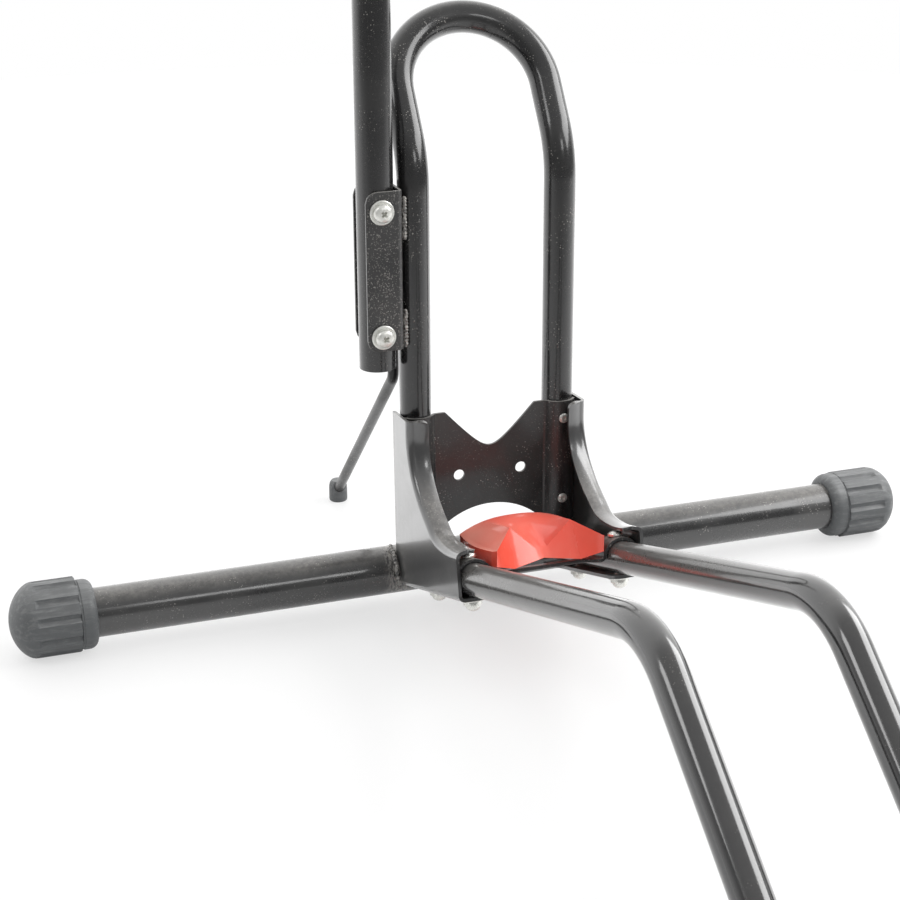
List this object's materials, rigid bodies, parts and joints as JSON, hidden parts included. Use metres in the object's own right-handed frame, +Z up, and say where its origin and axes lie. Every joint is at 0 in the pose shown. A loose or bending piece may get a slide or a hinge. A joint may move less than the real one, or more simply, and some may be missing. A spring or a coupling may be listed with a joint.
{
  "type": "bike stand",
  "caption": "Floor stand that holds a bicycle by one wheel between two bent tube hoops, with a red wheel saddle, a cross tube on turning end caps, a clamped post and a swivelling rear leg.",
  "frame": {"origin": "on the floor, under the middle of the stand's bounding box; the cross tube's axis is 212.9 mm behind it and 26 mm above the floor", "axes": "+X along the cross tube to the right as seen from the rails' front, +Y from the rails towards the rear leg, +Z up"},
  "size_m": [0.69, 0.8468, 0.523],
  "materials": {
    "black_paint": "semi-gloss black paint",
    "grey_rubber": "matte moulded rubber",
    "zinc": "bright zinc plate",
    "red_plastic": "glossy moulded plastic",
    "black_plastic": "satin moulded plastic"
  },
  "bodies": {
    "frame": {"cross_tube": "black_paint", "bracket_left": "black_paint", "bracket_right": "black_paint", "centre_plate": "black_paint", "upper_hoop": "black_paint", "lower_hoop": "black_paint", "saddle_strap_front": "black_paint", "saddle_strap_rear": "black_paint", "rail_bolt_front_left": "zinc", "rail_bolt_front_right": "zinc", "rail_bolt_rear_left": "zinc", "rail_bolt_rear_right": "zinc", "dome_nut_front_left": "zinc", "dome_nut_front_right": "zinc", "dome_nut_rear_left": "zinc", "dome_nut_rear_right": "zinc", "plate_screw_lower_left": "zinc", "plate_screw_lower_right": "zinc", "plate_screw_upper_left": "zinc", "plate_screw_upper_right": "zinc", "wheel_saddle": "red_plastic", "post_clamp": "black_paint", "post": "black_paint", "post_cap": "black_plastic", "clamp_screw_lower": "zinc", "clamp_screw_upper": "zinc", "clamp_washer_lower": "zinc", "clamp_washer_upper": "zinc", "clamp_nut_lower": "zinc", "clamp_nut_upper": "zinc", "leg_sleeve": "black_paint", "bracket_weld_left": "black_paint", "bracket_weld_right": "black_paint", "clamp_weld_lower": "black_paint", "clamp_weld_upper": "black_paint", "sleeve_weld": "black_paint"},
    "cap_left": {"end_cap_left": "grey_rubber"},
    "cap_right": {"end_cap_right": "grey_rubber"},
    "leg": {"leg_rod": "black_paint", "leg_foot": "grey_rubber", "leg_retainer": "zinc"}
  },
  "joints": [
    {"name": "left_cap_turn", "type": "hinge", "parent": "frame", "child": "cap_left", "pos_m": [-0.3144, 0.21291, 0.026], "axis": [1, 0, 0], "continuous": true},
    {"name": "right_cap_turn", "type": "hinge", "parent": "frame", "child": "cap_right", "pos_m": [0.3144, 0.21291, 0.026], "axis": [1, 0, 0], "continuous": true},
    {"name": "leg_swivel", "type": "hinge", "parent": "frame", "child": "leg", "pos_m": [-0.0627, 0.2183, 0.2], "axis": [0, 0, 1], "range_deg": [-75, 75]}
  ]
}
